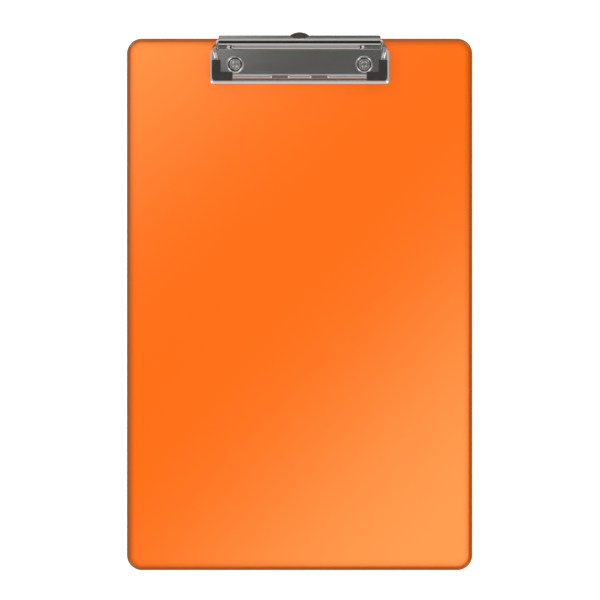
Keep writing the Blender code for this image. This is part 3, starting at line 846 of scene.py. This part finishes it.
def flangeReach(x):
    # How far back the flange goes at each place along the lever: straight, with two corner arcs and the
    # arc of the finger notch.
    v = leverShape
    reach = np.full(len(x), v["flangeEnd"])
    for sign, radius in ((-1, v["cornerLeft"]), (1, v["cornerRight"])):
        past = np.clip(sign * x - (v["halfLength"] - radius), 0, radius)
        reach -= radius - np.sqrt(radius**2 - past**2)
    notchMiddle = v["flangeEnd"] - v["notchDepth"] + v["notchRadius"]
    notch = notchMiddle - np.sqrt(np.clip(v["notchRadius"] ** 2 - x**2, 0, None))
    return np.minimum(reach, notch)


def makeLever():
    # The profile is carried along the lever. Its last stretch is measured out again at each place so that
    # it ends on the flange's back edge.
    v = leverShape
    bead, rise = leverProfile()
    half = v["halfLength"]
    end = half - v["endStrip"]
    near = v["notchStrip"]
    stops = [(-half, -end, 14), (-end, v["windowLeft"], 8), (v["windowLeft"], -near, 24), (-near, near, 48)]
    stops += [(near, v["windowRight"], 20), (v["windowRight"], end, 10), (end, half, 14)]
    x = np.concatenate([np.linspace(a, b, n + 1)[:-1] for a, b, n in stops] + [[half]])
    along = np.append(0, np.cumsum(np.linalg.norm(np.diff(rise, axis=0), axis=1)))
    length = np.interp(flangeReach(x), rise[:, 0], along)
    share = np.linspace(0, 1, 22)[1:, None] * length
    tailY = np.interp(share, along, rise[:, 0])
    tailZ = np.interp(share, along, rise[:, 1])
    y = np.concatenate([np.repeat(bead[:, :1], len(x), axis=1), tailY]) * mm + pivotY
    z = np.concatenate([np.repeat(bead[:, 1:], len(x), axis=1), tailZ]) * mm + pivotZ
    grid = np.stack([np.broadcast_to(x * mm, y.shape), y, z], axis=-1)

    def besideWindows(centres):
        atEnd = (centres[:, 0] < v["windowLeft"] * mm) | (centres[:, 0] > v["windowRight"] * mm)
        back, up = centres[:, 1] - pivotY, centres[:, 2] - pivotZ
        turn = np.degrees(np.arctan2(up, back)) % 360
        onBead = np.hypot(up, back) < (v["beadRadius"] + v["sheet"] / 10) * mm
        return ~(atEnd & onBead & (turn > v["windowTo"]) & (turn < v["windowFrom"]))

    lever = makePiece("rolledLever", [gridPart(grid, wrap=False, keep=besideWindows)], solid=False)
    giveThickness(lever, v["sheet"] * mm, 0, v["burr"] * mm)
    finishPiece(lever, leverChrome, "jaw", "lever", 30)


makeLever()
print("lever made")


# The wire jaw.

wireShape = {
    "radius": 1.5,
    "shoulderX": 56.45,
    "sideX": 55.4,
    "runInside": 25.5,
    "runHeight": 8.3,
    "dropStart": 9.4,
    "dropEnd": 13.2,
    "tip": 1.0,  # the tips turn this far forward and up
    "tipRun": 1.7,
    "tipPast": 1.3,
    "tipRound": 0.25,
    "legRound": 1.8,
    "shoulderRound": 1.75,
    "dropRound": 3.0,
    "corner": 2.6,
    "runSpan": 22.0,  # half of the stretch with fine steps
    "flatFrom": 6.8,  # two flats that the forming tool leaves on the run
    "flatTo": 19.4,
    "flatDepth": 0.42,
    "flatTurn": 14,
    "flatRamp": 0.6,
}


def wireLine():
    # The wire's middle line: left tip, left leg, arm, drop, run, and the same back up on the right.
    w = wireShape
    pivotInside = (boardHigh.y - pivotY) / mm
    height = w["runHeight"] - pivotZ / mm
    runY = pivotInside - w["runInside"]
    halves = []
    for end, sign in ((leverShape["windowLeft"], -1), (leverShape["windowRight"], 1)):
        tipX = end + sign * w["tipPast"]
        halves.append([
            (tipX, -w["tip"], w["tip"]),
            (tipX + sign * w["tipRun"], 0, 0),
            (sign * w["shoulderX"], 0, 0),
            (sign * w["shoulderX"], pivotInside - w["dropStart"], 0),
            (sign * w["sideX"], pivotInside - w["dropEnd"], height),
            (sign * w["sideX"], runY, height),
        ])
    marks = np.linspace(-w["runSpan"], w["runSpan"], 111)
    run = np.column_stack([marks, np.full(len(marks), runY), np.full(len(marks), height)])
    corners = np.concatenate([halves[0], run, halves[1][::-1]])
    radii = [0, w["legRound"], w["shoulderRound"], w["dropRound"], w["dropRound"], w["corner"]]
    radii = radii + [0] * len(run) + radii[::-1]
    return roundedLine(corners, radii, 14, closed=False) * mm + (0, pivotY, pivotZ), runY * mm + pivotY


def tube(line, radius, sides, endRound=0.0):
    # Circles square to a line, set out from the upright; the ends are rounded off a little.
    along = np.gradient(line, axis=0)
    along /= np.linalg.norm(along, axis=1)[:, None]
    size = np.full(len(line), radius)
    if endRound:
        lead = np.radians(np.array([80, 60, 30]))
        shift = endRound * np.sin(lead)[:, None]
        small = radius - endRound * (1 - np.cos(lead))
        line = np.concatenate([line[0] - shift * along[0], line, line[-1] + shift[::-1] * along[-1]])
        along = np.concatenate([[along[0]] * 3, along, [along[-1]] * 3])
        size = np.concatenate([small, size, small[::-1]])
    side = np.cross(along, (0, 0, 1))
    side /= np.linalg.norm(side, axis=1)[:, None]
    other = np.cross(along, side)
    turn = np.arange(sides) * 2 * math.pi / sides
    ring = np.cos(turn)[None, :, None] * side[:, None] + np.sin(turn)[None, :, None] * other[:, None]
    return line[:, None] + size[:, None, None] * ring


def makeWireJaw():
    # A circle carried along the wire's line. For the flats, what stands above a plane across the run is
    # pressed down to it, fading in over a ramp.
    w = wireShape
    line, runY = wireLine()
    rings = tube(line, w["radius"] * mm, 32, w["tipRound"] * mm)
    lean = math.radians(w["flatTurn"])
    normal = np.array([0, -math.sin(lean), math.cos(lean)])
    centre = np.array([0, runY, w["runHeight"] * mm])
    place = abs(rings[..., 0]) / mm
    into = np.clip((place - w["flatFrom"]) / w["flatRamp"], 0, 1)
    outOf = np.clip((w["flatTo"] - place) / w["flatRamp"], 0, 1)
    depth = w["flatDepth"] * mm * np.minimum(into, outOf)
    level = (rings - centre) @ normal
    rings = rings - np.maximum(level - (w["radius"] * mm - depth), 0)[..., None] * normal
    parts = [gridPart(rings), fillPart(rings[0]), fillPart(rings[-1])]
    wire = makePiece("springWire", parts)
    finishPiece(wire, wireChrome, "jaw", "wire_jaw", 40)


makeWireJaw()
print("wire jaw made")


# The rubber corners.

rubberShape = {
    "width": 5.9,
    "height": 4.8,
    "leg": 13.9,
    "outerRound": 2.4,
    "innerRound": 0.5,
    "endRound": 0.75,
    "edge": 0.7,
    "boreGap": 0.02,
    "boreFrom": 30.0,  # from the middle; the bore is cut along the wire from here
    "boreReach": 20.0,  # to here, back from the run
}


def makeRubberCorners():
    # An L-shaped slab with rounded edges, and a bore that fits the wire.
    r = rubberShape
    w = wireShape
    line, runY = wireLine()
    half = r["width"] / 2 * mm
    outer = w["sideX"] * mm + half
    front = runY - half
    leg = r["leg"] * mm
    wide = r["width"] * mm
    corners = [
        (outer - leg, front),
        (outer, front),
        (outer, front + leg),
        (outer - wide, front + leg),
        (outer - wide, front + wide),
        (outer - leg, front + wide),
    ]
    endRound = r["endRound"] * mm
    radii = [endRound, r["outerRound"] * mm, endRound, endRound, r["innerRound"] * mm, endRound]
    parts = slabParts(corners, radii, r["height"] * mm, r["edge"] * mm, 10, edgeSteps=6)
    for side, sign in (("Left", -1), ("Right", 1)):
        mirrored = movedParts(parts, lambda points: points * (sign, 1, 1) + (0, 0, w["runHeight"] * mm))
        corner = makePiece("rubberCorner" + side, mirrored)
        within = line[sign * line[:, 0] > r["boreFrom"] * mm]
        within = within[within[:, 1] < runY + r["boreReach"] * mm]
        boreRings = tube(within, (w["radius"] + r["boreGap"]) * mm, 32)
        bore = makePiece("bore", [gridPart(boreRings), fillPart(boreRings[0]), fillPart(boreRings[-1])])
        cut = corner.modifiers.new("bore", "BOOLEAN")
        cut.operation = "DIFFERENCE"
        cut.object = bore
        bakeModifiers(corner)
        bpy.data.objects.remove(bore)
        finishPiece(corner, blackRubber, "jaw", "rubber_corner_" + side.lower(), 40)


makeRubberCorners()
print("rubber corners made")


# The hanging hook.

hookShape = {
    "thickness": 1.2,
    "middle": 3.9,
    "halfWidth": 8.5,
    "headRadius": 10.4,
    "holeRadius": 3.25,
    "holeInside": 5.2,
    "footHalfWidth": 11.5,
    "footLength": 6.0,
    "shoulderRound": 0.6,
    "cornerRound": 0.8,
    "edge": 0.3,
}


def makeHook():
    # A flat T: an arc for its head, straight sides, and a wider foot; one round hole.
    h = hookShape
    hookLow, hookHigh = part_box("hanging_hook")
    headMiddle = hookHigh.y - h["headRadius"] * mm
    reach = math.degrees(math.asin(h["halfWidth"] / h["headRadius"]))
    head = arcPoints((0, headMiddle), h["headRadius"] * mm, 90 - reach, 90 + reach, 40)
    wide = h["halfWidth"] * mm
    foot = h["footHalfWidth"] * mm
    shoulder = hookLow.y + h["footLength"] * mm
    tail = [(-wide, shoulder), (-foot, shoulder), (-foot, hookLow.y)]
    tail += [(-x, y) for x, y in tail[::-1]]
    rounds = np.array([h["shoulderRound"], h["cornerRound"], h["cornerRound"]]) * mm
    radii = [0] * len(head) + [*rounds, *rounds[::-1]]
    hole = ((0, boardHigh.y - h["holeInside"] * mm), h["holeRadius"] * mm)
    parts = slabParts([*head, *tail], radii, h["thickness"] * mm, h["edge"] * mm, 8, [hole])
    lifted = movedParts(parts, lambda points: points + (0, 0, h["middle"] * mm))
    hook = makePiece("hangingHook", lifted)
    finishPiece(hook, darkNylon, "hook", "hanging_hook", 40)


makeHook()
print("hook made")


# The studio: a pale lit floor, a surround that the gloss and chrome reflect, one soft light and the camera.

studio = {
    "floorHalf": 30.0,  # metres, as the fill's, the camera's height and the clip's are
    "floorColour": "#f4f3f1",
    "floorCloud": "#f7f6f5",
    "floorGlow": 0.45,
    "surroundTint": (1, 0.995, 0.985, 1),
    "ceiling": 0.14,
    "wall": 0.6,
    "wallBackMore": 0.2,
    "cornerBoxes": 1.4,
    "stripHeadings": {"stripRight": -43.0, "stripLeft": 130.5},
    # Each fade: what it follows, where it starts and ends on that, and its level at the start and end.
    "fades": {
        "stripRight": ("stripRight", 0.0035, 0.0676, 0, 2.1),
        "stripLeft": ("stripLeft", 0.0262, 0.0936, 0, 1.92),
        "belowCeiling": ("height", 0.9945, 0.989, 0, 1),
        "wallTop": ("height", 0.94, 0.82, 0.42, 1),
        "sideShade": ("height", 0.35, 0.55, 0, 0.25),
        "frontWall": ("back", 0.3, -0.6, 0, 1),
        "frontLow": ("height", 0.5, 0.38, 0, 0.55),
        "boxFoot": ("height", 0.02, 0.12, 0, 1),
        "boxHead": ("height", 0.93, 0.82, 0, 1),
    },
    "fillWidth": 2.4,
    "fillHeight": 3.4,
    "fillPower": 45.0,
    "cameraHeight": 2.5,
    "cameraX": 0.27,
    "cameraY": 0.9,
    "frameWidth": 399.3,
}


def makeFloor():
    # A large square sheet on which the board lies, lit a little from below like a light table.
    s = studio
    size = s["floorHalf"]
    mesh = bpy.data.meshes.new("floor")
    corners = [(-size, -size, 0), (size, -size, 0), (size, size, 0), (-size, size, 0)]
    mesh.from_pydata(corners, [], [(0, 1, 2, 3)])
    floor = bpy.data.objects.new("floor", mesh)
    bpy.context.scene.collection.objects.link(floor)
    constants = {"Roughness": 0.6, "Specular IOR Level": 0.2}
    constants |= {"Emission Color": (1, 1, 1, 1), "Emission Strength": s["floorGlow"]}
    material, tree, shader, place = newMaterial("opalAcrylic", constants)
    cloud = addNode(tree, "TexNoise", {"Vector": place, "Scale": 3.0, "Detail": 1.0})
    colours = {"Factor": cloud, 6: toLinear(s["floorColour"]), 7: toLinear(s["floorCloud"])}
    colour = addNode(tree, "Mix", colours, data_type="RGBA")
    tree.links.new(colour.outputs[2], shader.inputs["Base Color"])
    mesh.materials.append(material)


def makeSurround():
    # Radiance by direction. Overhead is a dark ceiling with the soft edges of two long diffusers, one to
    # the front right and one to the back left; lower down are pale walls, with a tall softbox in each corner.
    s = studio
    world = bpy.data.worlds.new("studio")
    bpy.context.scene.world = world
    world.use_nodes = True
    tree = world.node_tree
    direction = addNode(tree, "TexCoord").outputs["Generated"]
    height = addNode(tree, "SeparateXYZ", {0: direction}).outputs[2]
    level = addNode(tree, "VectorMath", {0: direction, 1: (1, 1, 0)}, operation="MULTIPLY")
    heading = addNode(tree, "VectorMath", {0: level}, operation="NORMALIZE")
    right, back, _ = addNode(tree, "SeparateXYZ", {0: heading}).outputs
    followed = {"height": height, "back": back}
    up = addNode(tree, "Math", {0: height, 1: 0.02}, operation="MAXIMUM")
    for strip, degrees in s["stripHeadings"].items():
        towards = (math.cos(math.radians(degrees)), math.sin(math.radians(degrees)), 0)
        reach = addNode(tree, "VectorMath", {0: direction, 1: towards}, operation="DOT_PRODUCT")
        followed[strip] = addNode(tree, "Math", {0: reach.outputs["Value"], 1: up}, operation="DIVIDE")
    fade = {}
    for name, (source, start, end, atStart, atEnd) in s["fades"].items():
        limits = {"From Min": start, "From Max": end, "To Min": atStart, "To Max": atEnd}
        fade[name] = addNode(
            tree, "MapRange", {"Value": followed[source], **limits}, interpolation_type="SMOOTHSTEP"
        )

    overhead = s["ceiling"]
    for strip in s["stripHeadings"]:
        overhead = addNode(tree, "Math", {0: fade[strip], 1: overhead}, operation="ADD")

    # The walls are brighter to the back and low down in front, darker at the sides, and fade at the top.
    wall = addNode(tree, "Math", {0: back, 1: s["wallBackMore"], 2: s["wall"]}, operation="MULTIPLY_ADD")
    sideways = addNode(tree, "Math", {0: right, 1: right}, operation="MULTIPLY")
    shade = addNode(tree, "Math", {0: sideways, 1: fade["sideShade"]}, operation="MULTIPLY")
    wall = addNode(tree, "Math", {0: wall, 1: shade}, operation="SUBTRACT")
    inFront = {0: fade["frontWall"], 1: fade["frontLow"], 2: wall}
    wall = addNode(tree, "Math", inFront, operation="MULTIPLY_ADD")
    wall = addNode(tree, "Math", {0: wall, 1: fade["wallTop"]}, operation="MULTIPLY")

    # A softbox stands where right times back is at its largest, a half, so twice that is raised to a power.
    product = addNode(tree, "Math", {0: right, 1: back}, operation="MULTIPLY")
    product = addNode(tree, "Math", {0: product}, operation="ABSOLUTE")
    product = addNode(tree, "Math", {0: product, 1: 2.0}, operation="MULTIPLY")
    boxes = addNode(tree, "Math", {0: product, 1: 8.0}, operation="POWER")
    for factor in (s["cornerBoxes"], fade["boxFoot"], fade["boxHead"]):
        boxes = addNode(tree, "Math", {0: boxes, 1: factor}, operation="MULTIPLY")
    around = addNode(tree, "Math", {0: wall, 1: boxes}, operation="ADD")

    sides = {"Factor": fade["belowCeiling"], 2: overhead, 3: around}
    mixed = addNode(tree, "Mix", sides, data_type="FLOAT")
    background = tree.nodes["Background"]
    background.inputs["Color"].default_value = s["surroundTint"]
    tree.links.new(mixed.outputs[0], background.inputs["Strength"])


def makeFill():
    # A wide soft light overhead for the matt colours only, so that it adds no reflection of its own.
    s = studio
    lamp = bpy.data.lights.new("overheadFill", "AREA")
    lamp.shape = "SQUARE"
    lamp.size = s["fillWidth"]
    lamp.energy = s["fillPower"]
    holder = bpy.data.objects.new("overheadFill", lamp)
    holder.location = (0, 0, s["fillHeight"])
    holder.visible_glossy = False
    bpy.context.scene.collection.objects.link(holder)


def makeCamera():
    # Straight above, with a long lens.
    s = studio
    camera = bpy.data.cameras.new("camera")
    camera.sensor_width = 36.0
    camera.lens = camera.sensor_width * s["cameraHeight"] / (s["frameWidth"] * mm)
    camera.clip_end = 100.0
    holder = bpy.data.objects.new("camera", camera)
    holder.location = (s["cameraX"] * mm, s["cameraY"] * mm, s["cameraHeight"] + boardHigh.z)
    bpy.context.scene.collection.objects.link(holder)
    bpy.context.scene.camera = holder
    bpy.context.scene.view_settings.view_transform = "Standard"


makeFloor()
makeSurround()
makeFill()
makeCamera()
print("studio made")
